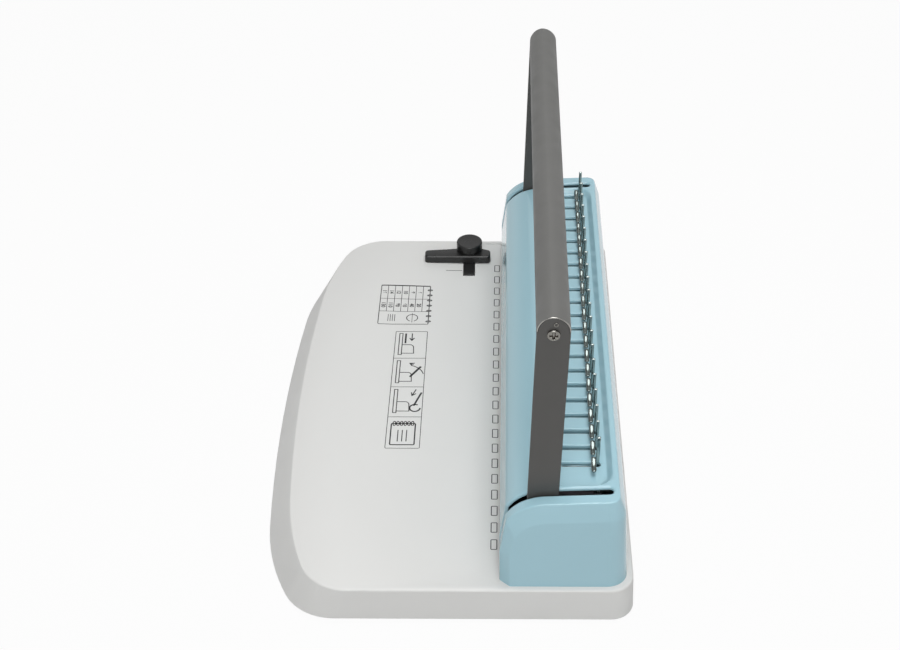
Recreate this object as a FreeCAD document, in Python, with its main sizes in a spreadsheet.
"""Desktop comb binding machine: punch lever, 21 hole die, comb opener, edge guide and chip drawer.

Frame: +Z up, floor at Z = 0, +Y towards the back, +X to the right of the person who uses it.
The origin is the centre of the footprint on the floor. Lengths are millimetres.
"""
import FreeCAD, Part
import Sketcher
import math
import os
import re
from FreeCAD import Placement, Rotation, Vector

doc = FreeCAD.newDocument("comb_binding_machine")
sheet = doc.addObject("Spreadsheet::Sheet", "sizes")

# Driving sizes, each with what it measures.
DRIVING = [
    ("hole_pitch", 14.2875, "comb tooth pitch, 9/16 inch"),
    ("hole_count", 21, "punched holes along the long side of A4"),
    ("punch_width", 8.0, "punch section along the paper edge"),
    ("punch_depth", 3.0, "punch section across the paper edge"),
    ("punch_play", 0.15, "side clearance of a punch in its guide and die"),
    ("foot_height", 2.0, "rubber foot below the skirt"),
    ("foot_radius", 8.0, "rubber foot"),
    ("skirt_height", 24.0, "base side wall"),
    ("shell_wall", 2.5, "moulded wall of base and cover"),
    ("deck_wall", 3.0, "top wall of the base"),
    ("deck_edge_radius", 1.5, "rounded top edge of the base"),
    ("tray_depth", 150.5, "base in front of the cover, at floor level"),
    ("front_flare", 14.4, "how far the front skirt leans out"),
    ("end_draft", 0.8, "how far the end skirts lean out"),
    ("back_draft", 1.0, "how far the back skirt leans out"),
    ("rear_rim", 5.0, "base behind the cover, at floor level"),
    ("end_rim", 4.2, "base beyond the cover ends, at floor level"),
    ("bow_reach", 105.0, "where the bowed front goes over into the ease arcs, from the middle"),
    ("bow_top_radius", 1200.0, "bowed front, top edge"),
    ("bow_low_radius", 1300.0, "bowed front, bottom edge"),
    ("ease_top_radius", 200.0, "arcs between the bow and the front corners, top edge"),
    ("ease_low_radius", 146.0, "arcs between the bow and the front corners, bottom edge"),
    ("corner_top_radius", 32.0, "front corners, top edge"),
    ("corner_low_radius", 35.0, "front corners, bottom edge"),
    ("rear_corner_radius", 14.0, "rear corners"),
    ("dish_radius", 208.0, "floor of the shallow round dish in the deck"),
    ("dish_slope", 25.0, "width of the slope round the dish"),
    ("dish_depth", 1.0, "dish below the deck"),
    ("dish_back", 115.3, "dish centre behind the cover front"),
    ("dish_end_rim", 4.0, "plain rim of the deck at both ends of the dish"),
    ("bottom_thick", 2.0, "bottom plate"),
    ("fit_gap", 0.3, "gap between pieces that lie side by side"),
    ("throat_height", 4.8, "paper throat"),
    ("throat_setback", 7.5, "punch line behind the inner front wall"),
    ("throat_stop", 5.5, "paper stop behind the punch line"),
    ("die_thick", 4.0, "die plate"),
    ("guide_thick", 5.0, "punch guide plate"),
    ("stop_depth", 5.0, "paper stop bar, front to back"),
    ("beam_depth", 6.0, "punch beam, front to back"),
    ("beam_height", 12.0, "punch beam"),
    ("beam_rise", 11.4, "punch beam above the guide plate at rest"),
    ("punch_rest", 0.8, "punch tips above the throat at rest"),
    ("ear_thick", 4.0, "spring ears at the beam ends"),
    ("spring_radius", 3.0, "return spring, outside"),
    ("spring_wire", 0.9, "return spring wire diameter"),
    ("spring_turns", 6, "return spring turns"),
    ("spring_room", 8.1, "room for a spring beside the punches"),
    ("gear_module", 1.0, "rack and pinion tooth size"),
    ("gear_teeth", 14, "pinion teeth"),
    ("gear_width", 8.0, "rack and pinion face width"),
    ("gear_backlash", 0.3, "play between the teeth"),
    ("gear_inset", 35.0, "pinions from the side frames"),
    ("rack_back", 3.8, "rack pitch line from the beam"),
    ("rack_length", 22.0, "toothed height of a rack"),
    ("rack_rise", 9.4, "rack foot above the guide plate at rest"),
    ("pivot_rise", 17.2, "drive shaft above the guide plate"),
    ("shaft_radius", 4.0, "drive shaft"),
    ("shaft_play", 0.05, "radial running clearance in the bushes"),
    ("bush_wall", 2.0, "bronze bush wall"),
    ("bush_flange", 0.8, "bush flange"),
    ("frame_thick", 2.5, "steel side frames"),
    ("frame_leg", 2.5, "front leg of a side frame"),
    ("arm_gap", 2.0, "lever arm from the side frame"),
    ("arm_thick", 3.0, "lever arm plate"),
    ("arm_width", 18.0, "lever arm and grip width"),
    ("arm_length", 152.7, "shaft to grip screw"),
    ("arm_end_room", 13.8, "cover end beyond the lever arm at floor level"),
    ("arm_slot_play", 1.0, "cover slot beside the lever arm"),
    ("slot_reach", 41.3, "cover slot behind the shaft"),
    ("slot_drop", 8.0, "cover slot below the shaft"),
    ("lever_lean", 1.7, "backward lean of the lever at rest, degrees"),
    ("grip_wall", 1.4, "grip channel wall"),
    ("grip_leg", 6.0, "straight legs of the grip channel"),
    ("grip_rise", 1.4, "centre of the grip arch above its screws"),
    ("lug_length", 10.0, "screw lug inside the grip"),
    ("screw_radius", 1.5, "machine screw thread"),
    ("screw_head_radius", 3.2, "pan screw head"),
    ("screw_head_height", 1.8, "pan screw head"),
    ("grip_screw_radius", 3.5, "grip screw head"),
    ("cover_height", 64.0, "cover above the deck at its back edge"),
    ("shoulder_radius", 27.3, "rounded front shoulder of the cover"),
    ("crown_radius", 8.0, "rounded back edge of the cover"),
    ("top_rise", 2.6, "slope of the cover top, degrees"),
    ("back_lean", 3.2, "lean of the cover back, degrees"),
    ("end_lean", 2.4, "lean of the cover ends, degrees"),
    ("bevel_inset", 5.2, "bevelled end border, along the machine"),
    ("bevel_front", 6.1, "bevelled end border, front"),
    ("bevel_top", 12.5, "bevelled end border, top"),
    ("bevel_back", 8.0, "bevelled end border, back"),
    ("recess_depth", 4.5, "comb tray below the cover top"),
    ("recess_draft", 3.0, "sloped wall of the comb tray"),
    ("recess_margin", 1.7, "ridge between comb tray and arm slot"),
    ("recess_front", 6.0, "comb tray in front of the slits"),
    ("recess_behind", 3.4, "comb tray floor behind the slits"),
    ("recess_corner", 8.0, "comb tray corners"),
    ("recess_back_margin", 10.1, "cover behind the comb tray"),
    ("pan_wall", 2.0, "comb tray floor wall"),
    ("slit_start", 11.2, "slits behind the shaft"),
    ("slit_length", 24.0, "slits in the comb tray"),
    ("slit_width", 2.4, "slits in the comb tray"),
    ("slit_shift", 8.0, "slits to the left of the holes"),
    ("hook_thick", 1.4, "hook plate and hooks"),
    ("hook_width", 2.8, "hook tongue across"),
    ("hook_length", 10.0, "hook tongue along the machine"),
    ("hook_height", 3.2, "hook tongue above the comb tray floor"),
    ("hook_back", 4.4, "hooks in front of the slit ends"),
    ("hook_reach", 20.0, "hook plate in front of the hooks"),
    ("tine_thick", 1.4, "fixed tines along the machine"),
    ("tine_depth", 1.4, "fixed tines across"),
    ("tine_height", 21.5, "fixed tines above the comb tray floor"),
    ("tine_lean", 0.3, "tine tips behind their feet"),
    ("rail_height", 12.0, "tine rail"),
    ("ledge_width", 5.0, "hook plate ledges"),
    ("ledge_height", 2.2, "hook plate ledges"),
    ("guide_length", 49.8, "edge guide bar, front to back"),
    ("guide_width", 9.0, "edge guide bar across at its ends"),
    ("guide_belly", 2.4, "extra width of the guide bar at its knob"),
    ("guide_height", 5.7, "edge guide bar"),
    ("guide_stop", 150.0, "edge guide face from the centre, A4"),
    ("guide_travel", 8.8, "edge guide slide to the letter size"),
    ("guide_front", 33.8, "guide bar in front of its knob"),
    ("track_setback", 24.7, "edge guide track in front of the cover"),
    ("track_across", 9.0, "edge guide track, front to back"),
    ("track_play", 0.1, "edge guide track in the deck, each side"),
    ("track_ahead", 6.6, "track ahead of the guide at full travel"),
    ("track_sunk", 0.2, "track below the deck"),
    ("track_behind", 4.5, "track behind the knob axis"),
    ("knob_radius", 9.7, "clamp knob"),
    ("knob_height", 6.6, "clamp knob"),
    ("knob_inset", 11.3, "clamp knob axis behind the guide face"),
    ("stud_radius", 2.5, "clamp stud"),
    ("clamp_thick", 2.0, "clamp plate under the deck"),
    ("clamp_margin", 2.5, "clamp plate beyond the slot, each side"),
    ("drawer_width", 34.0, "chip drawer, front to back"),
    ("drawer_height", 15.0, "chip drawer"),
    ("drawer_wall", 1.3, "chip drawer wall"),
    ("drawer_face", 3.0, "chip drawer end panel"),
    ("drawer_recess", 1.6, "chip drawer panel inside the base end"),
    ("boss_radius", 3.6, "screw bosses"),
    ("boss_height", 12.0, "cover screw bosses"),
    ("boss_inset", 2.8, "cover screw axes inside the end walls"),
    ("boss_cap", 2.0, "closed top of a screw boss"),
    ("back_screw_spread", 110.0, "cover screws at the back, from the centre"),
    ("base_screw_inset", 8.0, "bottom plate screws inside the front and end skirts"),
    ("rear_screw_inset", 2.0, "bottom plate screws inside the back skirt"),
    ("screw_play", 0.1, "clearance round screws"),
    ("base_screw_length", 12.0, "bottom plate screws"),
    ("cover_screw_length", 11.0, "cover screws"),
    ("foot_inset", 26.0, "rubber feet from the base edges"),
    ("flange_width", 10.0, "foot flange of a side frame"),
    ("pin_hole_radius", 1.3, "locating hole in a lever arm"),
    ("pin_hole_rise", 5.7, "locating hole above the grip screw"),
    ("pin_hole_shift", 1.0, "locating hole behind the grip screw"),
    ("grip_overhang", 1.0, "grip channel beyond the lever arms"),
    ("knob_round", 0.8, "rounded rims of the clamp knob"),
    ("drawer_notch_radius", 8.0, "finger notch in the drawer panel"),
]

# Places and sizes that follow from the driving ones.
DERIVED = [
    ("deck_z", "foot_height + skirt_height"),
    ("deck_under_z", "deck_z - deck_wall"),
    ("floor_top_z", "foot_height + bottom_thick"),
    ("throat_z", "deck_z - dish_depth"),
    ("throat_top_z", "throat_z + throat_height"),
    ("guide_top_z", "throat_top_z + guide_thick"),
    ("pivot_z", "guide_top_z + pivot_rise"),
    ("beam_z", "guide_top_z + beam_rise"),
    ("beam_top_z", "beam_z + beam_height"),
    ("ear_z", "beam_top_z - ear_thick"),
    ("cover_top_z", "deck_z + cover_height"),
    ("recess_z", "cover_top_z - recess_depth"),
    ("pan_z", "recess_z - pan_wall"),
    ("hook_z", "pan_z - fit_gap - hook_thick"),
    ("ledge_top_z", "hook_z - fit_gap"),
    ("frame_top_z", "ledge_top_z"),
    ("pattern_half", "(hole_count - 1) / 2 * hole_pitch + punch_width / 2"),
    ("frame_in_x", "pattern_half + spring_room"),
    ("frame_out_x", "frame_in_x + frame_thick"),
    ("arm_in_x", "frame_out_x + arm_gap"),
    ("arm_out_x", "arm_in_x + arm_thick"),
    ("slot_in_x", "arm_in_x - arm_slot_play"),
    ("slot_out_x", "arm_out_x + arm_slot_play"),
    ("cover_half", "arm_out_x + arm_end_room"),
    ("base_half", "cover_half + end_rim"),
    ("spring_x", "frame_in_x - spring_radius - spring_wire"),
    ("gear_x", "frame_in_x - gear_inset"),
    ("gear_pitch_radius", "gear_module * gear_teeth / 2"),
    ("front_to_punch", "shell_wall + throat_setback"),
    ("punch_to_pivot", "beam_depth / 2 + rack_back + gear_pitch_radius"),
    ("pivot_to_back", "slit_start + slit_length + recess_behind + recess_draft + recess_back_margin"),
    ("cover_depth", "front_to_punch + punch_to_pivot + pivot_to_back"),
    ("base_depth", "tray_depth + cover_depth + rear_rim"),
    ("base_front_y", "-base_depth / 2"),
    ("base_back_y", "base_depth / 2"),
    ("cover_front_y", "base_front_y + tray_depth"),
    ("cover_back_y", "cover_front_y + cover_depth"),
    ("punch_y", "cover_front_y + front_to_punch"),
    ("pivot_y", "punch_y + punch_to_pivot"),
    ("wall_in_y", "cover_front_y + shell_wall + fit_gap"),
    ("slit_front_y", "pivot_y + slit_start"),
    ("slit_back_y", "slit_front_y + slit_length"),
    ("hook_y", "slit_back_y - hook_back"),
    ("tine_y", "hook_y + hook_width / 2 + fit_gap"),
    ("recess_front_y", "slit_front_y - recess_front"),
    ("recess_back_y", "slit_back_y + recess_behind"),
    ("recess_half", "slot_in_x - recess_margin - recess_draft"),
    ("slot_back_y", "pivot_y + slot_reach"),
    ("frame_front_y", "wall_in_y"),
    ("frame_back_y", "tine_y + tine_depth + fit_gap + tine_depth"),
    ("drawer_front_y", "frame_front_y + frame_leg + fit_gap"),
    ("drawer_back_y", "drawer_front_y + drawer_width"),
    ("drawer_z", "floor_top_z + fit_gap"),
    ("drawer_top_z", "drawer_z + drawer_height"),
    ("well_back_y", "frame_back_y + fit_gap"),
    ("knob_y", "cover_front_y - track_setback"),
    ("knob_x", "-guide_stop - knob_inset"),
    ("track_low_x", "knob_x - track_behind"),
    ("track_high_x", "-guide_stop + guide_travel + track_ahead"),
    ("grip_z", "pivot_z + arm_length + grip_rise"),
    ("screw_z", "pivot_z + arm_length"),
    ("boss_x", "cover_half - shell_wall - boss_inset"),
]

ALIASES = set()

# Gear tooth form: pressure angle, and heights above and below the pitch line in modules.
PRESSURE = math.radians(20)
ADDENDUM = 0.8
DEDENDUM = 1.2
FLANK_STEPS = 4

# How far a cutting tool reaches past the face that it cuts.
PAST = 1.0
# Lengths closer than this count as equal.
CLOSE = 1e-6

# Turns an outline drawn in (across, up) into the (Y, Z) plane.
UPRIGHT = Rotation(Vector(1, 1, 1), 120)


def fill_sheet():
    """Write driving sizes as plain numbers and derived ones as formulas, one alias each."""
    row = 1
    for alias, value, note in DRIVING:
        sheet.set(f"A{row}", note)
        sheet.set(f"B{row}", str(value))
        sheet.setAlias(f"B{row}", alias)
        ALIASES.add(alias)
        row += 1
    for alias, formula in DERIVED:
        sheet.set(f"B{row}", "=" + formula)
        sheet.setAlias(f"B{row}", alias)
        ALIASES.add(alias)
        row += 1
    doc.recompute()


def formula(text):
    """An expression in which every size name points at its cell."""
    return re.sub(r"[a-z_]+", lambda m: f"sizes.{m[0]}" if m[0] in ALIASES else m[0], str(text))


def size(text):
    """The number that an expression of size names gives."""
    return float(sheet.evalExpression(formula(text)))


NODES = {}
SIDES = {"left": -1, "right": 1}


def node(name, obj):
    """Name the finished object of one sub-part."""
    obj.Label = name
    NODES[name] = obj
    return obj


def place(obj, x, y, z):
    """Tie the object's place to three expressions."""
    for axis, text in zip("xyz", (x, y, z)):
        obj.setExpression(f"Placement.Base.{axis}", formula(text))
    return obj


def block(name, x, y, z):
    """A block from its low and high expressions along each axis."""
    obj = doc.addObject("Part::Box", name)
    for prop, (low, high) in zip(("Length", "Width", "Height"), (x, y, z)):
        obj.setExpression(prop, formula(f"({high}) - ({low})"))
    return place(obj, x[0], y[0], z[0])


TURNS = {
    "x": Rotation(Vector(0, 1, 0), 90),
    "y": Rotation(Vector(1, 0, 0), -90),
    "z": Rotation(),
}


def rod(name, axis, start, radius, length):
    """A round bar that starts at a point and runs along +X, +Y or +Z."""
    obj = doc.addObject("Part::Cylinder", name)
    obj.Placement = Placement(Vector(), TURNS[axis])
    obj.setExpression("Radius", formula(radius))
    obj.setExpression("Height", formula(length))
    return place(obj, *start)


def drill(name, axis, start, radius, depth):
    """A round cutting tool that passes right through a wall of the given depth."""
    entry = [f"({where}) - {PAST}" if letter == axis else where for letter, where in zip("xyz", start)]
    return rod(name, axis, entry, radius, f"{depth} + 2 * {PAST}")


def group(name, members):
    """Separate solids kept together in one object."""
    obj = doc.addObject("Part::Compound", name)
    obj.Links = members
    return obj


def fuse(name, members):
    obj = doc.addObject("Part::MultiFuse", name)
    obj.Shapes = members
    return obj


def cut(name, base, tools):
    obj = doc.addObject("Part::Cut", name)
    obj.Base = base
    obj.Tool = tools[0] if len(tools) == 1 else fuse(name + "_tools", tools)
    return obj


def solid(name, shape):
    """An object whose shape is worked out from the sheet in code."""
    obj = doc.addObject("Part::Feature", name)
    obj.Shape = shape
    return obj


def polygon(sketch, corners):
    """A closed run of lines whose corners are tied to pairs of expressions."""
    first = sketch.GeometryCount
    points = [Vector(size(a), size(b), 0) for a, b in corners]
    count = len(points)
    for start, end in zip(points, points[1:] + points[:1]):
        sketch.addGeometry(Part.LineSegment(start, end), False)
    for i in range(count):
        sketch.addConstraint(Sketcher.Constraint("Coincident", first + i, 2, first + (i + 1) % count, 1))
    for i, (point, pair) in enumerate(zip(points, corners)):
        for kind, value, text in zip(("DistanceX", "DistanceY"), (point.x, point.y), pair):
            index = sketch.addConstraint(Sketcher.Constraint(kind, -1, 1, first + i, 1, value))
            sketch.setExpression(f"Constraints[{index}]", formula(text))


def circle(sketch, across, up, radius):
    """A circle whose centre and radius are tied to expressions."""
    centre = Vector(size(across), size(up), 0)
    edge = sketch.addGeometry(Part.Circle(centre, Vector(0, 0, 1), size(radius)), False)
    index = sketch.addConstraint(Sketcher.Constraint("Radius", edge, size(radius)))
    sketch.setExpression(f"Constraints[{index}]", formula(radius))
    for kind, value, text in (("DistanceX", centre.x, across), ("DistanceY", centre.y, up)):
        index = sketch.addConstraint(Sketcher.Constraint(kind, -1, 1, edge, 3, value))
        sketch.setExpression(f"Constraints[{index}]", formula(text))


def axis_of(body, role):
    return next(part for part in body.Origin.OriginFeatures if part.Role == role)


def feature_sketch(body, name, plane, level, corners=(), bores=()):
    """A sketch of polygons and circles on one of the body's own planes, lifted to a level."""
    sketch = body.newObject("Sketcher::SketchObject", name)
    sketch.AttachmentSupport = [(axis_of(body, plane), "")]
    sketch.MapMode = "FlatFace"
    sketch.setExpression("AttachmentOffset.Base.z", formula(level))
    for outline in corners:
        polygon(sketch, outline)
    for bore in bores:
        circle(sketch, *bore)
    return sketch


def plate(name, plane, outline, start, thick, bores=()):
    """A flat plate padded from a sketch of an outline and round bores."""
    body = doc.addObject("PartDesign::Body", name)
    pad = body.newObject("PartDesign::Pad", name + "_pad")
    pad.Profile = feature_sketch(body, name + "_sketch", plane, start, [outline], bores)
    pad.setExpression("Length", formula(thick))
    return body


def rectangle(x, y):
    """The four corners between low and high expressions."""
    return [(x[0], y[0]), (x[1], y[0]), (x[1], y[1]), (x[0], y[1])]


def hole_x(index):
    """Expression for the place of one punched hole along the machine."""
    return f"({index} - (hole_count - 1) / 2) * hole_pitch"


def holes():
    return range(int(size("hole_count")))


def polar(centre, radius, angle):
    """The (across, up) point at an angle in degrees on a circle."""
    turn = math.radians(angle)
    return (centre[0] + radius * math.cos(turn), centre[1] + radius * math.sin(turn))


def arc(centre, radius, *angles):
    """An arc through its start, middle and end angles in degrees."""
    return Part.Arc(*(Vector(*polar(centre, radius, angle), 0) for angle in angles)).toShape()


def line(start, end):
    return Part.LineSegment(Vector(*start, 0), Vector(*end, 0)).toShape()


def base_outline(z, inset):
    """Wire of the bowed base at one height: straight ends and back, arcs at corners and front."""
    drop = (size("deck_z") - z) / size("skirt_height")
    half = size("base_half - end_draft") + drop * size("end_draft") - inset
    back = size("base_back_y - back_draft") + drop * size("back_draft") - inset
    front = size("base_front_y + front_flare") - drop * size("front_flare") + inset
    bow = size("bow_top_radius") + drop * size("bow_low_radius - bow_top_radius")
    lean = math.asin(size("bow_reach") / bow)
    bow = bow - inset
    ease = size("ease_top_radius") + drop * size("ease_low_radius - ease_top_radius") - inset
    corner = size("corner_top_radius") + drop * size("corner_low_radius - corner_top_radius") - inset
    rear = size("rear_corner_radius") - inset
    bow_y = front + bow
    ease_x = (bow - ease) * math.sin(lean)
    ease_y = bow_y - (bow - ease) * math.cos(lean)
    corner_x = half - corner
    corner_y = ease_y - math.sqrt((ease - corner) ** 2 - (corner_x - ease_x) ** 2)
    start = math.degrees(lean) - 90
    meet = math.degrees(math.atan2(corner_y - ease_y, corner_x - ease_x))
    between = (start + meet) / 2
    rear_y = back - rear
    edges = [
        arc((0, bow_y), bow, -180 - start, -90, start),
        arc((ease_x, ease_y), ease, start, between, meet),
        arc((corner_x, corner_y), corner, meet, meet / 2, 0),
        line((half, corner_y), (half, rear_y)),
        arc((half - rear, rear_y), rear, 0, 45, 90),
        line((half - rear, back), (rear - half, back)),
        arc((rear - half, rear_y), rear, 90, 135, 180),
        line((-half, rear_y), (-half, corner_y)),
        arc((-corner_x, corner_y), corner, 180, 180 - meet / 2, 180 - meet),
        arc((-ease_x, ease_y), ease, 180 - meet, 180 - between, 180 - start),
    ]
    wire = Part.Wire(edges)
    wire.translate(Vector(0, 0, z))
    return wire


def base_block(low, high, inset):
    return Part.makeLoft([base_outline(low, inset), base_outline(high, inset)], True, True)


def brick(x, y, z):
    """A plain block shape from numbers along each axis."""
    return Part.makeBox(x[1] - x[0], y[1] - y[0], z[1] - z[0], Vector(x[0], y[0], z[0]))


def pillar(x, y, low, high, radius):
    return Part.makeCylinder(radius, high - low, Vector(x, y, low))


def base_screw_points():
    """Screw places that hold the bottom plate: along the front, the ends and the back."""
    wide = size("base_half - shell_wall - boss_radius - base_screw_inset")
    middle = wide / 2
    front = size("base_front_y + front_flare + shell_wall + boss_radius + base_screw_inset")
    back = size("base_back_y - shell_wall - boss_radius - back_draft - rear_screw_inset")
    side = size("base_front_y + tray_depth / 2")
    return [(-middle, front), (middle, front), (-wide, side), (wide, side), (-middle, back), (middle, back)]


def cover_screw_points():
    """Screw places that hold the cover: two in each end piece and two along the back."""
    front = size("cover_front_y + shoulder_radius")
    back = size("cover_back_y - crown_radius - boss_radius - shell_wall")
    wall = size("cover_back_y - shell_wall - boss_inset")
    spread = size("back_screw_spread")
    ends = [(side * size("boss_x"), y) for side in SIDES.values() for y in (front, back)]
    return ends + [(side * spread, wall) for side in SIDES.values()]


def dish():
    """The shallow cone that sinks the paper rest, left plain along both ends of the deck."""
    top = size("deck_z")
    floor = size("throat_z")
    centre = Vector(0, size("cover_front_y + dish_back"), floor)
    slope = size("dish_slope / dish_depth")
    height = top - floor + PAST
    cone = Part.makeCone(size("dish_radius"), size("dish_radius") + slope * height, height, centre)
    end = size("base_half - end_draft - dish_end_rim")
    front = size("base_front_y")
    rest = brick((-end, end), (front, size("cover_front_y")), (floor, top + PAST))
    mouth = size("frame_in_x")
    throat = brick((-mouth, mouth), (front, size("wall_in_y") + PAST), (floor, top + PAST))
    return cone.common(rest.fuse(throat))


def base_shell():
    """White moulded base: a bowed shell with a skirt that leans out at the front."""
    low = size("foot_height")
    top = size("deck_z")
    under = size("deck_under_z")
    wall = size("shell_wall")
    outer = base_block(low, top, 0)
    rim = [edge for edge in outer.Edges if all(abs(v.Z - top) < CLOSE for v in edge.Vertexes)]
    outer = outer.makeFillet(size("deck_edge_radius"), rim)
    shell = outer.cut(base_block(low - PAST, under, wall))
    points = base_screw_points()
    shell = shell.fuse([pillar(x, y, size("floor_top_z"), under, size("boss_radius")) for x, y in points])
    bore = size("screw_radius + screw_play")
    through = (under - PAST, top + PAST)
    cuts = [dish()]
    cuts += [pillar(x, y, low, under - size("boss_cap"), bore) for x, y in points]
    cuts += [pillar(x, y, *through, bore) for x, y in cover_screw_points()]
    well = size("frame_out_x + fit_gap")
    cuts.append(brick((-well, well), (size("wall_in_y"), size("well_back_y")), through))
    end = size("base_half")
    cuts.append(brick((-end - PAST, size("end_draft + 2 * shell_wall") - end),
                      (size("drawer_front_y - fit_gap"), size("drawer_back_y + fit_gap")),
                      (size("floor_top_z"), size("drawer_top_z + fit_gap"))))
    cuts.append(brick((size("track_low_x"), size("track_high_x")),
                      (size("knob_y - track_across / 2"), size("knob_y + track_across / 2")), through))
    return shell.cut(cuts)


def bottom_plate():
    """Pressed bottom plate that closes the base between the skirts."""
    level = size("floor_top_z")
    wire = base_outline(level, size("shell_wall + fit_gap"))
    wire.translate(Vector(0, 0, size("foot_height") - level))
    blank = Part.Face(wire).extrude(Vector(0, 0, size("bottom_thick")))
    bore = size("screw_radius + screw_play")
    points = base_screw_points() + [(size(x), size(y)) for x, y in frame_screw_points()]
    return blank.cut([pillar(x, y, 0, level + PAST, bore) for x, y in points])


def tangent_centre(first, second, radius):
    """Centre of a circle that touches two lines, each a (point, inward normal) pair."""
    (p, n), (q, m) = first, second
    a = p[0] * n[0] + p[1] * n[1] + radius
    b = q[0] * m[0] + q[1] * m[1] + radius
    det = n[0] * m[1] - n[1] * m[0]
    return ((a * m[1] - b * n[1]) / det, (n[0] * b - m[0] * a) / det)


def cover_profile(x, floor, front_in, top_in, back_in, shoulder, crown):
    """Side outline of the cover at X: front wall, round shoulder, rising top, round crown, leaning back."""
    rise = math.radians(size("top_rise"))
    lean = math.radians(size("back_lean"))
    front = ((size("cover_front_y") + front_in, floor), (1, 0))
    normal = (math.sin(rise), -math.cos(rise))
    peak = (size("slot_back_y"), size("cover_top_z"))
    top = ((peak[0] + normal[0] * top_in, peak[1] + normal[1] * top_in), normal)
    inward = (-math.cos(lean), -math.sin(lean))
    deck = size("deck_z")
    foot = (size("cover_back_y") + inward[0] * back_in, deck + inward[1] * back_in)
    back = (foot, inward)
    low = tangent_centre(front, top, shoulder)
    high = tangent_centre(top, back, crown)
    toe = (foot[0] + (foot[1] - floor) * math.tan(lean), floor)
    turn_top = 90 + size("top_rise")
    turn_back = size("back_lean")
    edges = [
        line(front[0], polar(low, shoulder, 180)),
        arc(low, shoulder, 180, (180 + turn_top) / 2, turn_top),
        line(polar(low, shoulder, turn_top), polar(high, crown, turn_top)),
        arc(high, crown, turn_top, (turn_top + turn_back) / 2, turn_back),
        line(polar(high, crown, turn_back), toe),
        line(toe, front[0]),
    ]
    wire = Part.Wire(edges)
    wire.Placement = Placement(Vector(x, 0, 0), UPRIGHT)
    return wire


def cover_block(wall, floor):
    """Cover body: one outline along the machine and a bevelled, leaning border at each end."""
    shoulder = size("shoulder_radius") - wall
    crown = size("crown_radius") - wall
    half = size("cover_half") - wall
    outline = {}
    for side in SIDES.values():
        shoulder_x = side * (half - size("bevel_inset"))
        outline[side] = cover_profile(shoulder_x, floor, wall, wall, wall, shoulder, crown)
        border = cover_profile(side * half, floor, wall + size("bevel_front"), wall + size("bevel_top"),
                               wall + size("bevel_back"), shoulder - size("bevel_front"), crown)
        border.rotate(Vector(side * half, 0, size("deck_z")), Vector(0, 1, 0), -side * size("end_lean"))
        outline[2 * side] = border
    return Part.makeLoft([outline[key] for key in sorted(outline)], True, True)


def rounded_rectangle(x, y, z, radius):
    """Wire of a rectangle with round corners."""
    edges = [
        line((x[0] + radius, y[0]), (x[1] - radius, y[0])),
        arc((x[1] - radius, y[0] + radius), radius, -90, -45, 0),
        line((x[1], y[0] + radius), (x[1], y[1] - radius)),
        arc((x[1] - radius, y[1] - radius), radius, 0, 45, 90),
        line((x[1] - radius, y[1]), (x[0] + radius, y[1])),
        arc((x[0] + radius, y[1] - radius), radius, 90, 135, 180),
        line((x[0], y[1] - radius), (x[0], y[0] + radius)),
        arc((x[0] + radius, y[0] + radius), radius, 180, 225, 270),
    ]
    wire = Part.Wire(edges)
    wire.translate(Vector(0, 0, z))
    return wire


def comb_tray():
    """Recess in the cover top with sloped walls and round corners."""
    half = size("recess_half")
    front = size("recess_front_y")
    back = size("recess_back_y")
    low = size("recess_z")
    lift = size("recess_depth") + PAST
    spread = size("recess_draft") * lift / size("recess_depth")
    corner = size("recess_corner")
    floor = rounded_rectangle((-half, half), (front, back), low, corner)
    brim = rounded_rectangle((-half - spread, half + spread), (front - spread, back + spread),
                             low + lift, corner + spread)
    return Part.makeLoft([floor, brim], True, True)


def slot_prism(x, front, back, low, high):
    """A straight slot along Y with round ends, as wide as its two X values."""
    radius = (x[1] - x[0]) / 2
    middle = (x[0] + x[1]) / 2
    wire = Part.Wire([
        line((x[0], back - radius), (x[0], front + radius)),
        arc((middle, front + radius), radius, 180, 270, 360),
        line((x[1], front + radius), (x[1], back - radius)),
        arc((middle, back - radius), radius, 0, 90, 180),
    ])
    wire.translate(Vector(0, 0, low))
    return Part.Face(wire).extrude(Vector(0, 0, high - low))


def housing_cover():
    """Blue moulded cover over the punch, with arm slots, paper throat, comb tray and slits."""
    deck = size("deck_z")
    top = size("cover_top_z + crown_radius")
    wall = size("shell_wall")
    outer = cover_block(0, deck)
    shell = outer.cut(cover_block(wall, deck - wall))
    brim = size("recess_half + recess_draft + pan_wall")
    pan_y = (size("recess_front_y - recess_draft - pan_wall"),
             size("recess_back_y + recess_draft + pan_wall"))
    pan = brick((-brim, brim), pan_y, (size("pan_z"), top))
    bosses = [pillar(x, y, deck, deck + size("boss_height"), size("boss_radius"))
              for x, y in cover_screw_points()]
    shell = shell.fuse([pan.common(outer), *bosses])
    cuts = [comb_tray()]
    slit = size("slit_width / 2")
    slit_y = (size("slit_front_y"), size("slit_back_y"))
    for index in holes():
        x = size(f"{hole_x(index)} - slit_shift")
        cuts.append(slot_prism((x - slit, x + slit), *slit_y, size("pan_z") - PAST, top))
    slot_y = (size("cover_front_y + slot_in_x - slot_out_x"), size("slot_back_y"))
    for side in SIDES.values():
        edges = sorted((side * size("slot_in_x"), side * size("slot_out_x")))
        cuts.append(slot_prism(edges, *slot_y, size("pivot_z - slot_drop"), top))
    mouth = size("slot_in_x")
    front = size("cover_front_y")
    cuts.append(brick((-mouth, mouth), (front - PAST, front + wall + PAST),
                      (deck - PAST, size("throat_top_z"))))
    bore = size("screw_radius + screw_play")
    blind = deck + size("boss_height - boss_cap")
    cuts += [pillar(x, y, deck - PAST, blind, bore) for x, y in cover_screw_points()]
    return shell.cut(cuts)


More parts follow.
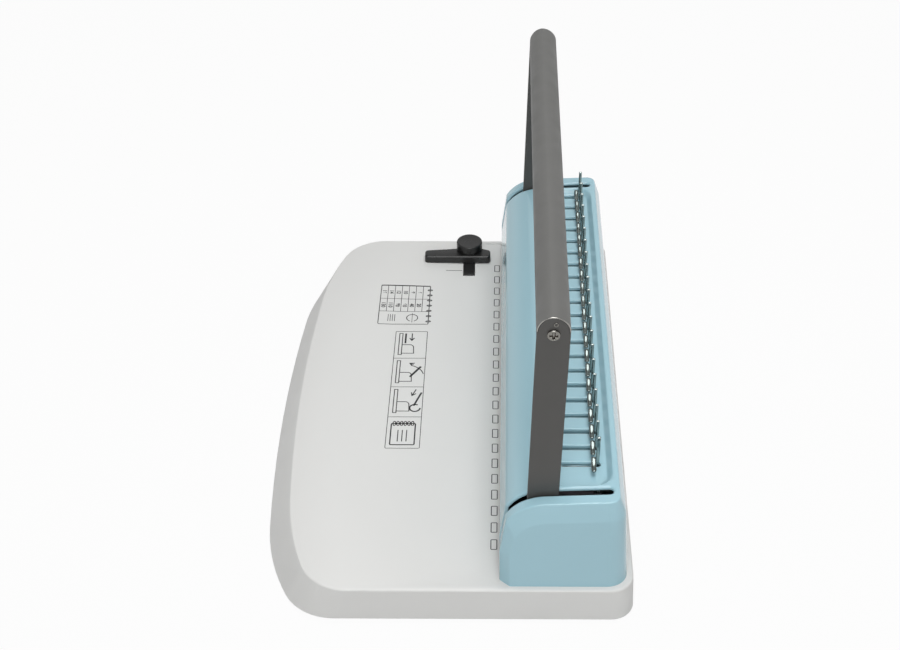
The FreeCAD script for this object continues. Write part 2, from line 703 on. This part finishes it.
def cover_pieces():
    """The cover in three mouldings that meet at the inner sides of the arm slots."""
    cover = housing_cover()
    seam = size("slot_in_x")
    gap = size("fit_gap / 2")
    end = size("base_half")
    across = (size("base_front_y"), size("base_back_y"))
    height = (size("deck_under_z"), size("cover_top_z + crown_radius"))
    spans = {
        "housing_cover": (gap - seam, seam - gap),
        "left_end_cover": (-end, -seam - gap),
        "right_end_cover": (seam + gap, end),
    }
    return {name: cover.common(brick(along, across, height)) for name, along in spans.items()}


def screws_from_below(points, seat, length, name):
    """Pan screws with their heads under a seat and their threads up."""
    members = []
    for index, (x, y) in enumerate(points):
        head = rod(f"{name}_head{index}", "z", (x, y, f"{seat} - screw_head_height"),
                   "screw_head_radius", "screw_head_height")
        shank = rod(f"{name}_shank{index}", "z", (x, y, seat), "screw_radius", length)
        members.append(fuse(f"{name}_{index}", [head, shank]))
    return group(name, members)


def make_base():
    node("base_shell", solid("base_shell", base_shell()))
    node("bottom_plate", solid("bottom_plate", bottom_plate()))
    feet = []
    for x in ("foot_inset - base_half", "base_half - foot_inset"):
        for y in ("base_front_y + front_flare + foot_inset", "base_back_y - foot_inset"):
            feet.append(rod(f"foot{len(feet)}", "z", (x, y, 0), "foot_radius", "foot_height"))
    node("rubber_feet", group("rubber_feet", feet))
    node("base_screws", screws_from_below(base_screw_points(), "foot_height", "base_screw_length",
                                          "base_screws"))
    for name, piece in cover_pieces().items():
        node(name, solid(name, piece))
    node("housing_screws", screws_from_below(cover_screw_points(), "deck_under_z", "cover_screw_length",
                                             "housing_screws"))


BUSH_RADIUS = "shaft_radius + shaft_play + bush_wall"


def span(side, near, far):
    """Low and high expressions along X of a piece between two distances from the centre."""
    return (near, far) if side > 0 else (f"-({far})", f"-({near})")


def frame_screw_points():
    """Expressions for the screws that hold the side frames down."""
    x = "frame_in_x - flange_width / 2"
    return [(f"{side} * ({x})", "drawer_back_y + fit_gap + flange_width / 2") for side in SIDES.values()]


def make_frames():
    """Steel side frames with a bronze bush for the shaft and a ledge for the hook plate."""
    leg_back = "drawer_front_y - fit_gap"
    heel = "drawer_back_y + fit_gap"
    arch = "drawer_top_z + fit_gap"
    outline = [
        ("frame_front_y", "floor_top_z"),
        (leg_back, "floor_top_z"),
        (leg_back, arch),
        (heel, arch),
        (heel, "floor_top_z"),
        ("frame_back_y", "floor_top_z"),
        ("frame_back_y", "frame_top_z"),
        ("pivot_y", "frame_top_z"),
        ("frame_front_y", "pivot_z"),
    ]
    for (name, side), (x, y) in zip(SIDES.items(), frame_screw_points()):
        low = span(side, "frame_in_x", "frame_out_x")[0]
        wall = plate(f"{name}_frame_wall", "YZ_Plane", outline, low, "frame_thick",
                     bores=[("pivot_y", "pivot_z", BUSH_RADIUS)])
        flange = block(f"{name}_flange", span(side, "frame_in_x - flange_width", "frame_in_x"),
                       (heel, "frame_back_y"), ("floor_top_z", "floor_top_z + frame_thick"))
        bore = drill(f"{name}_flange_bore", "z", (x, y, "floor_top_z"), "screw_radius + screw_play",
                     "frame_thick")
        whole = fuse(f"{name}_frame_whole", [wall, flange])
        node(f"{name}_side_frame", cut(f"{name}_side_frame", whole, [bore]))
        node(f"{name}_shaft_bush", shaft_bush(name, side))
        ledge = block(f"{name}_hook_ledge", span(side, "frame_in_x - ledge_width", "frame_in_x"),
                      ("recess_front_y", "hook_y"), ("ledge_top_z - ledge_height", "ledge_top_z"))
        node(f"{name}_hook_ledge", ledge)
    screws = []
    for index, (x, y) in enumerate(frame_screw_points()):
        head = rod(f"frame_head{index}", "z", (x, y, "floor_top_z + frame_thick"), "screw_head_radius",
                   "screw_head_height")
        shank = rod(f"frame_shank{index}", "z", (x, y, "foot_height"), "screw_radius",
                    "bottom_thick + frame_thick")
        screws.append(fuse(f"frame_screw{index}", [head, shank]))
    node("frame_screws", group("frame_screws", screws))


def shaft_bush(name, side):
    """Flanged bush: a sleeve through the side frame with its collar outside."""
    sleeve_x = span(side, "frame_in_x", "frame_out_x")[0]
    collar_x = span(side, "frame_out_x", "frame_out_x + bush_flange")[0]
    bore_x = span(side, "frame_in_x", "frame_out_x + bush_flange")[0]
    sleeve = rod(f"{name}_sleeve", "x", (sleeve_x, "pivot_y", "pivot_z"), BUSH_RADIUS, "frame_thick")
    collar = rod(f"{name}_collar", "x", (collar_x, "pivot_y", "pivot_z"), f"{BUSH_RADIUS} + bush_wall / 2",
                 "bush_flange")
    hole = drill(f"{name}_bush_hole", "x", (bore_x, "pivot_y", "pivot_z"), "shaft_radius + shaft_play",
                 "frame_thick + bush_flange")
    return cut(f"{name}_shaft_bush", fuse(f"{name}_bush_body", [sleeve, collar]), [hole])


def along_holes(body, features):
    """Repeat features of a body at the pitch of the punched holes, from the first hole on."""
    pattern = body.newObject("PartDesign::LinearPattern", body.Name + "_pattern")
    pattern.Originals = features
    pattern.Direction = (axis_of(body, "X_Axis"), [""])
    pattern.setExpression("Length", formula("(hole_count - 1) * hole_pitch"))
    pattern.setExpression("Occurrences", formula("hole_count"))
    body.Tip = pattern
    return body


def bolt_points():
    """Expressions for the bolts that clamp guide plate, paper stop and die plate together."""
    y = "punch_y + throat_stop + stop_depth / 2"
    return [(x, y) for x in ("-pattern_half", "-pattern_half / 2", "pattern_half / 2", "pattern_half")]


def punched_plate(name, front, low, thick):
    """A plate across the machine with one rectangular hole for each punch."""
    back = "punch_y + throat_stop + stop_depth"
    bores = [(x, y, "screw_radius + screw_play") for x, y in bolt_points()]
    body = plate(name, "XY_Plane", rectangle(("-frame_in_x", "frame_in_x"), (front, back)), low, thick, bores)
    doc.recompute()
    full = body.Shape.Volume
    first = hole_x(0)
    wide = "(punch_width / 2 + punch_play)"
    deep = "(punch_depth / 2 + punch_play)"
    opening = rectangle((f"{first} - {wide}", f"{first} + {wide}"),
                        (f"punch_y - {deep}", f"punch_y + {deep}"))
    pocket = body.newObject("PartDesign::Pocket", name + "_hole")
    pocket.Profile = feature_sketch(body, name + "_hole_sketch", "XY_Plane", f"{low} + {thick}", [opening])
    pocket.setExpression("Length", formula(thick))
    along_holes(body, [pocket])
    doc.recompute()
    removed = size(f"hole_count * 4 * {wide} * {deep} * {thick}")
    if abs(full - body.Shape.Volume - removed) > removed * CLOSE:
        raise RuntimeError(f"{name}: holes missing")
    return node(name, body)


def make_die():
    """Die plate, paper stop and punch guide plate between the side frames, and their bolts."""
    punched_plate("die_plate", "wall_in_y + fit_gap", "throat_z - die_thick", "die_thick")
    punched_plate("punch_guide_plate", "wall_in_y", "throat_top_z", "guide_thick")
    bores = [(x, y, "screw_radius + screw_play") for x, y in bolt_points()]
    stop = rectangle(("-frame_in_x", "frame_in_x"),
                     ("punch_y + throat_stop", "punch_y + throat_stop + stop_depth"))
    node("paper_stop", plate("paper_stop", "XY_Plane", stop, "throat_z", "throat_height", bores))
    bolts = []
    for index, (x, y) in enumerate(bolt_points()):
        head = rod(f"bolt_head{index}", "z", (x, y, "guide_top_z"), "stop_depth / 2", "screw_head_height")
        shank = rod(f"bolt_shank{index}", "z", (x, y, "throat_z - die_thick"), "screw_radius",
                    "guide_top_z - throat_z + die_thick")
        bolts.append(fuse(f"bolt{index}", [head, shank]))
    node("die_bolts", group("die_bolts", bolts))


def helix_spring(x, low, high):
    """Compression spring: one wire swept along a helix between two seats."""
    wire = size("spring_wire / 2")
    radius = size("spring_radius") - wire
    height = high - low - 2 * wire
    path = Part.makeHelix(height / size("spring_turns"), height, radius)
    pitch = math.atan2(height / size("spring_turns"), 2 * math.pi * radius)
    along = Vector(0, math.cos(pitch), math.sin(pitch))
    section = Part.Wire(Part.makeCircle(wire, Vector(radius, 0, 0), along))
    shape = Part.Wire(path.Edges).makePipeShell([section], True, True)
    shape.translate(Vector(x, size("punch_y"), low + wire))
    return shape


def make_punch():
    """Punch beam with spring ears, punches, racks and return springs."""
    deep = ("punch_y - beam_depth / 2", "punch_y + beam_depth / 2")
    ear_half = "frame_in_x - 2 * fit_gap"
    main = block("beam_main", ("-pattern_half", "pattern_half"), deep, ("beam_z", "beam_top_z"))
    ears = block("beam_ears", (f"-({ear_half})", ear_half), deep, ("ear_z", "beam_top_z"))
    node("punch_beam", fuse("punch_beam", [main, ears]))
    pins = []
    for index in holes():
        x = hole_x(index)
        pins.append(block(f"punch{index}", (f"{x} - punch_width / 2", f"{x} + punch_width / 2"),
                          ("punch_y - punch_depth / 2", "punch_y + punch_depth / 2"),
                          ("throat_top_z + punch_rest", "beam_z")))
    node("punch_pins", group("punch_pins", pins))
    for name, side in SIDES.items():
        spring = helix_spring(side * size("spring_x"), size("guide_top_z"), size("ear_z"))
        node(f"{name}_return_spring", solid(f"{name}_return_spring", spring))
        node(f"{name}_rack", solid(f"{name}_rack", rack(side)))


def rack(side):
    """Straight rack on the back of the beam, one tooth level with the shaft at rest."""
    module = size("gear_module")
    pitch = math.pi * module
    half = pitch / 4 - size("gear_backlash") / 2
    tip = module * ADDENDUM
    root = module * DEDENDUM
    line_y = size("pivot_y - gear_pitch_radius")
    low = size("guide_top_z + rack_rise")
    high = low + size("rack_length")
    middle = size("pivot_z")
    slant = math.tan(PRESSURE)
    first = math.ceil((low + half + root * slant - middle) / pitch)
    last = math.floor((high - half - root * slant - middle) / pitch)
    points = [(size("punch_y + beam_depth / 2"), low), (line_y - root, low)]
    for tooth in range(first, last + 1):
        z = middle + tooth * pitch
        points += [(line_y - root, z - half - root * slant), (line_y + tip, z - half + tip * slant),
                   (line_y + tip, z + half - tip * slant), (line_y - root, z + half + root * slant)]
    points += [(line_y - root, high), (size("punch_y + beam_depth / 2"), high)]
    return extruded(points, side * size("gear_x"), size("gear_width"))


def extruded(points, centre, width):
    """A polygon of (Y, Z) points extruded along X about a centre."""
    start = centre - width / 2
    corners = [Vector(start, y, z) for y, z in points]
    return Part.Face(Part.makePolygon(corners + corners[:1])).extrude(Vector(width, 0, 0))


def involute(radius, base):
    """Turn of an involute, in radians, where it reaches a radius from its base circle."""
    slope = math.acos(base / radius)
    return math.tan(slope) - slope


def pinion(side):
    """Involute pinion with a tooth gap facing the rack at rest."""
    module = size("gear_module")
    teeth = int(size("gear_teeth"))
    pitch_radius = size("gear_pitch_radius")
    base = pitch_radius * math.cos(PRESSURE)
    tip = pitch_radius + module * ADDENDUM
    root = pitch_radius - module * DEDENDUM
    half = math.pi / (2 * teeth) - size("gear_backlash") / (2 * pitch_radius) + involute(pitch_radius, base)
    radii = [base + (tip - base) * step / FLANK_STEPS for step in range(FLANK_STEPS + 1)]
    flank = [(root, half), *((r, half - involute(r, base)) for r in radii)]
    points = []
    for tooth in range(teeth):
        middle = math.pi + (tooth + 0.5) * 2 * math.pi / teeth
        for r, turn in flank:
            points.append((r, middle - turn))
        for r, turn in reversed(flank):
            points.append((r, middle + turn))
    centre = (size("pivot_y"), size("pivot_z"))
    corners = [(centre[0] + r * math.cos(t), centre[1] + r * math.sin(t)) for r, t in points]
    shape = extruded(corners, side * size("gear_x"), size("gear_width"))
    start = side * size("gear_x") - size("gear_width / 2")
    return shape.cut(Part.makeCylinder(size("shaft_radius"), size("gear_width"), Vector(start, *centre),
                                       Vector(1, 0, 0)))


def lean_back(obj):
    """Turn a piece of the lever about the shaft to its resting lean."""
    obj.Placement = Placement(Vector(), Rotation(Vector(1, 0, 0), -size("lever_lean")),
                              Vector(0, size("pivot_y"), size("pivot_z")))
    return obj


# Lever pieces are drawn upright over the shaft: full width, width inside the grip, foot of the grip legs.
LEVER_WIDE = ("pivot_y - arm_width / 2", "pivot_y + arm_width / 2")
NEST_RADIUS = "(arm_width / 2 - grip_wall - screw_play)"
LEVER_SLIM = (f"pivot_y - {NEST_RADIUS}", f"pivot_y + {NEST_RADIUS}")
LEG_Z = "(grip_z - grip_leg)"
BELOW_GRIP = (f"{LEG_Z} - arm_width", LEG_Z)


def lever_arm(name, side):
    """Flat arm from the shaft up into the arch of the grip, with screw and locating holes."""
    low, high = span(side, "arm_in_x", "arm_out_x")
    stem = block(f"{name}_stem", (low, high), LEVER_WIDE, ("pivot_z", LEG_Z))
    neck = block(f"{name}_neck", (low, high), LEVER_SLIM, (LEG_Z, "grip_z"))
    eye = rod(f"{name}_eye", "x", (low, "pivot_y", "pivot_z"), "arm_width / 2", "arm_thick")
    crown = rod(f"{name}_crown", "x", (low, "pivot_y", "grip_z"), NEST_RADIUS, "arm_thick")
    pin = (low, "pivot_y + pin_hole_shift", "screw_z + pin_hole_rise")
    tools = [
        drill(f"{name}_arm_bore", "x", (low, "pivot_y", "pivot_z"), "shaft_radius", "arm_thick"),
        drill(f"{name}_arm_screw_hole", "x", (low, "pivot_y", "screw_z"), "screw_radius + screw_play",
              "arm_thick"),
        drill(f"{name}_arm_pin_hole", "x", pin, "pin_hole_radius", "arm_thick"),
    ]
    return lean_back(cut(f"{name}_arm", fuse(f"{name}_arm_blank", [stem, neck, eye, crown]), tools))


def grip_plug(name, side):
    """Block that fills the end of the grip channel and takes the grip screw."""
    along = span(side, "arm_in_x - lug_length", "arm_in_x")
    leg = block(f"{name}_plug_leg", along, LEVER_SLIM, (LEG_Z, "grip_z"))
    arch = rod(f"{name}_plug_arch", "x", (along[0], "pivot_y", "grip_z"), NEST_RADIUS, "lug_length")
    bore = drill(f"{name}_plug_bore", "x", (along[0], "pivot_y", "screw_z"), "screw_radius + screw_play",
                 "lug_length")
    trim = block(f"{name}_plug_trim", along, LEVER_WIDE, BELOW_GRIP)
    return lean_back(cut(f"{name}_grip_plug", fuse(f"{name}_plug_body", [leg, arch]), [bore, trim]))


def grip_screw(name, side):
    head_x = span(side, "arm_out_x", "arm_out_x + screw_head_height")[0]
    shank_x = span(side, "arm_in_x - lug_length", "arm_out_x")[0]
    head = rod(f"{name}_grip_head", "x", (head_x, "pivot_y", "screw_z"), "grip_screw_radius",
               "screw_head_height")
    shank = rod(f"{name}_grip_shank", "x", (shank_x, "pivot_y", "screw_z"), "screw_radius",
                "lug_length + arm_thick")
    return fuse(f"{name}_grip_screw", [head, shank])


def grip_channel():
    """Arched bar, open below, that joins the tops of the two arms."""
    over = "(arm_out_x + grip_overhang)"
    past = f"({over} + {PAST})"
    inner = "(arm_width / 2 - grip_wall)"
    arch = rod("grip_arch", "x", (f"-{over}", "pivot_y", "grip_z"), "arm_width / 2", f"2 * {over}")
    legs = block("grip_legs", (f"-{over}", over), LEVER_WIDE, (LEG_Z, "grip_z"))
    hollow = drill("grip_hollow", "x", (f"-{over}", "pivot_y", "grip_z"), inner, f"2 * {over}")
    gap = block("grip_gap", (f"-{past}", past), (f"pivot_y - {inner}", f"pivot_y + {inner}"),
                (f"{LEG_Z} - {PAST}", "grip_z"))
    trim = block("grip_trim", (f"-{past}", past), LEVER_WIDE, BELOW_GRIP)
    return lean_back(cut("grip_channel", fuse("grip_body", [arch, legs]), [hollow, gap, trim]))


def make_lever():
    """Drive shaft with pinions, two arms and the arched grip between them."""
    shaft = rod("drive_shaft", "x", ("-arm_out_x", "pivot_y", "pivot_z"), "shaft_radius", "2 * arm_out_x")
    node("drive_shaft", shaft)
    screws = []
    caps = []
    for name, side in SIDES.items():
        node(f"{name}_pinion", solid(f"{name}_pinion", pinion(side)))
        node(f"{name}_arm", lever_arm(name, side))
        node(f"{name}_grip_plug", grip_plug(name, side))
        screws.append(grip_screw(name, side))
        cap_x = span(side, "arm_out_x", "arm_out_x + screw_head_height")[0]
        caps.append(rod(f"{name}_shaft_cap", "x", (cap_x, "pivot_y", "pivot_z"), "shaft_radius + bush_wall",
                        "screw_head_height"))
    node("grip_screws", lean_back(group("grip_screws", screws)))
    node("shaft_caps", group("shaft_caps", caps))
    node("grip_channel", grip_channel())


def make_comb_opener():
    """Sliding plate with one hook per comb tooth, and the fixed rail of tines behind the hooks."""
    half = "(frame_in_x - 3 * fit_gap)"
    back = "hook_y + hook_width / 2"
    body = plate("hook_plate", "XY_Plane", rectangle((f"-{half}", half), ("hook_y - hook_reach", back)),
                 "hook_z", "hook_thick")
    x = f"({hole_x(0)} - slit_shift)"
    across = ("hook_y - hook_width / 2", back)
    tongue_z = "recess_z + hook_height"
    end = f"{x} + hook_thick / 2 + hook_length - hook_width / 2"
    post = rectangle((f"{x} - hook_thick / 2", f"{x} + hook_thick / 2"), across)
    tongue = rectangle((f"{x} - hook_thick / 2", end), across)
    tip = (end, "hook_y", "hook_width / 2")
    pads = []
    for name, corners, bores, level, length in (
        ("hook_post", [post], [], "hook_z + hook_thick", f"{tongue_z} - hook_z"),
        ("hook_tongue", [tongue], [], tongue_z, "hook_thick"),
        ("hook_tip", [], [tip], tongue_z, "hook_thick"),
    ):
        pad = body.newObject("PartDesign::Pad", name)
        pad.Profile = feature_sketch(body, name + "_sketch", "XY_Plane", level, corners, bores)
        pad.setExpression("Length", formula(length))
        pads.append(pad)
    node("hook_plate", along_holes(body, pads))
    rail_top = "pan_z - fit_gap"
    rail_y = ("tine_y", "tine_y + tine_depth")
    rail = plate("tine_rail", "XY_Plane", rectangle(("-frame_in_x", "frame_in_x"), rail_y),
                 f"{rail_top} - rail_height", "rail_height")
    tip_z = "recess_z + tine_height"
    leaning = [(rail_y[0], rail_top), (rail_y[1], rail_top), (f"{rail_y[1]} + tine_lean", tip_z),
               (f"{rail_y[0]} + tine_lean", tip_z)]
    tine = rail.newObject("PartDesign::Pad", "tine")
    tine.Profile = feature_sketch(rail, "tine_sketch", "YZ_Plane", f"{x} - tine_thick / 2", [leaning])
    tine.setExpression("Length", formula("tine_thick"))
    node("tine_rail", along_holes(rail, [tine]))


def guide_track():
    """Sunk strip in the deck with a groove that the clamp stud runs in."""
    strip = block("track_strip", ("track_low_x + track_play", "track_high_x - track_play"),
                  ("knob_y - track_across / 2 + track_play", "knob_y + track_across / 2 - track_play"),
                  ("deck_under_z", "deck_z - track_sunk"))
    room = "(stud_radius + fit_gap)"
    groove = block("track_groove", (f"knob_x - {room}", f"knob_x + guide_travel + {room}"),
                   (f"knob_y - {room}", f"knob_y + {room}"), (f"deck_under_z - {PAST}", f"deck_z + {PAST}"))
    return cut("guide_track", strip, [groove])


def guide_bar():
    """Straight stop for the paper's edge with a round lobe under the knob."""
    front = "knob_y - guide_front"
    back = "knob_y - guide_front + guide_length"
    end_x = "-guide_stop - guide_width"
    belly_x = f"{end_x} - guide_belly"
    outline = [("-guide_stop", front), ("-guide_stop", back), (end_x, back),
               (belly_x, "knob_y + knob_radius"), (belly_x, "knob_y - knob_radius"), (end_x, front)]
    blade = plate("guide_blade", "XY_Plane", outline, "deck_z", "guide_height")
    lobe = rod("guide_lobe", "z", ("knob_x", "knob_y", "deck_z"), "knob_radius - guide_belly / 2",
               "guide_height")
    bore = drill("guide_bore", "z", ("knob_x", "knob_y", "deck_z"), "stud_radius", "guide_height")
    return cut("edge_guide_bar", fuse("guide_body", [blade, lobe]), [bore])


def clamp_knob(seat):
    """Round knob with soft rims and a blind threaded hole for the stud."""
    disc = rod("knob_disc", "z", ("knob_x", "knob_y", seat), "knob_radius", "knob_height")
    soft = doc.addObject("Part::Fillet", "knob_rounded")
    soft.Base = disc
    doc.recompute()
    rims = [i + 1 for i, edge in enumerate(disc.Shape.Edges) if edge.Closed]
    soft.Edges = [(i, size("knob_round"), size("knob_round")) for i in rims]
    thread = rod("knob_thread", "z", ("knob_x", "knob_y", f"{seat} - {PAST}"), "stud_radius + shaft_play",
                 f"knob_height / 2 + {PAST}")
    return cut("clamp_knob", soft, [thread])


def make_edge_guide():
    """Edge guide bar on a sunk track, with its clamp knob, stud and clamp plate."""
    node("guide_track", guide_track())
    node("edge_guide_bar", guide_bar())
    plate_top = "(deck_under_z - fit_gap)"
    wide = "(track_across / 2 + clamp_margin)"
    clamp = block("clamp_plate", (f"knob_x - {wide}", f"knob_x + {wide}"),
                  (f"knob_y - {wide}", f"knob_y + {wide}"), (f"{plate_top} - clamp_thick", plate_top))
    node("clamp_plate", clamp)
    bar_top = "(deck_z + guide_height)"
    stud = rod("clamp_stud", "z", ("knob_x", "knob_y", plate_top), "stud_radius",
               f"{bar_top} + knob_height / 2 - {plate_top}")
    node("clamp_stud", stud)
    node("clamp_knob", clamp_knob(f"{bar_top} + shaft_play"))


def make_drawer():
    """Chip drawer under the die, pulled out through the left end of the base."""
    face_x = "drawer_recess - base_half"
    end_x = "frame_in_x - drawer_face"
    tub = block("drawer_tub", (face_x, end_x), ("drawer_front_y", "drawer_back_y"),
                ("drawer_z", "drawer_top_z"))
    inside = block("drawer_inside", (f"{face_x} + drawer_face", f"{end_x} - drawer_wall"),
                   ("drawer_front_y + drawer_wall", "drawer_back_y - drawer_wall"),
                   ("drawer_z + drawer_wall", f"drawer_top_z + {PAST}"))
    middle = "(drawer_front_y + drawer_back_y) / 2"
    notch = drill("drawer_notch", "x", (face_x, middle, "drawer_top_z"), "drawer_notch_radius", "drawer_face")
    node("chip_drawer", cut("chip_drawer", tub, [inside, notch]))


fill_sheet()
make_base()
make_frames()
make_die()
make_punch()
make_lever()
make_comb_opener()
make_edge_guide()
make_drawer()
doc.recompute()


def faults():
    """Objects that failed, and sub-parts with no sound solid."""
    bad = [obj.Name for obj in doc.Objects if {"Invalid", "Error"} & set(obj.State)]
    bad += [name for name, obj in NODES.items() if obj.Shape.isNull() or not obj.Shape.isValid()]
    return bad


if faults():
    raise RuntimeError(f"failed: {faults()}")
os.makedirs("parts", exist_ok=True)
for name, obj in NODES.items():
    obj.Shape.exportStep(f"parts/{name}.step")
    box = obj.Shape.BoundBox
    print(f"{name}: {len(obj.Shape.Solids)} solids, {obj.Shape.Volume / 1000:.2f} cm3, "
          f"{box.XLength:.1f} x {box.YLength:.1f} x {box.ZLength:.1f} mm")
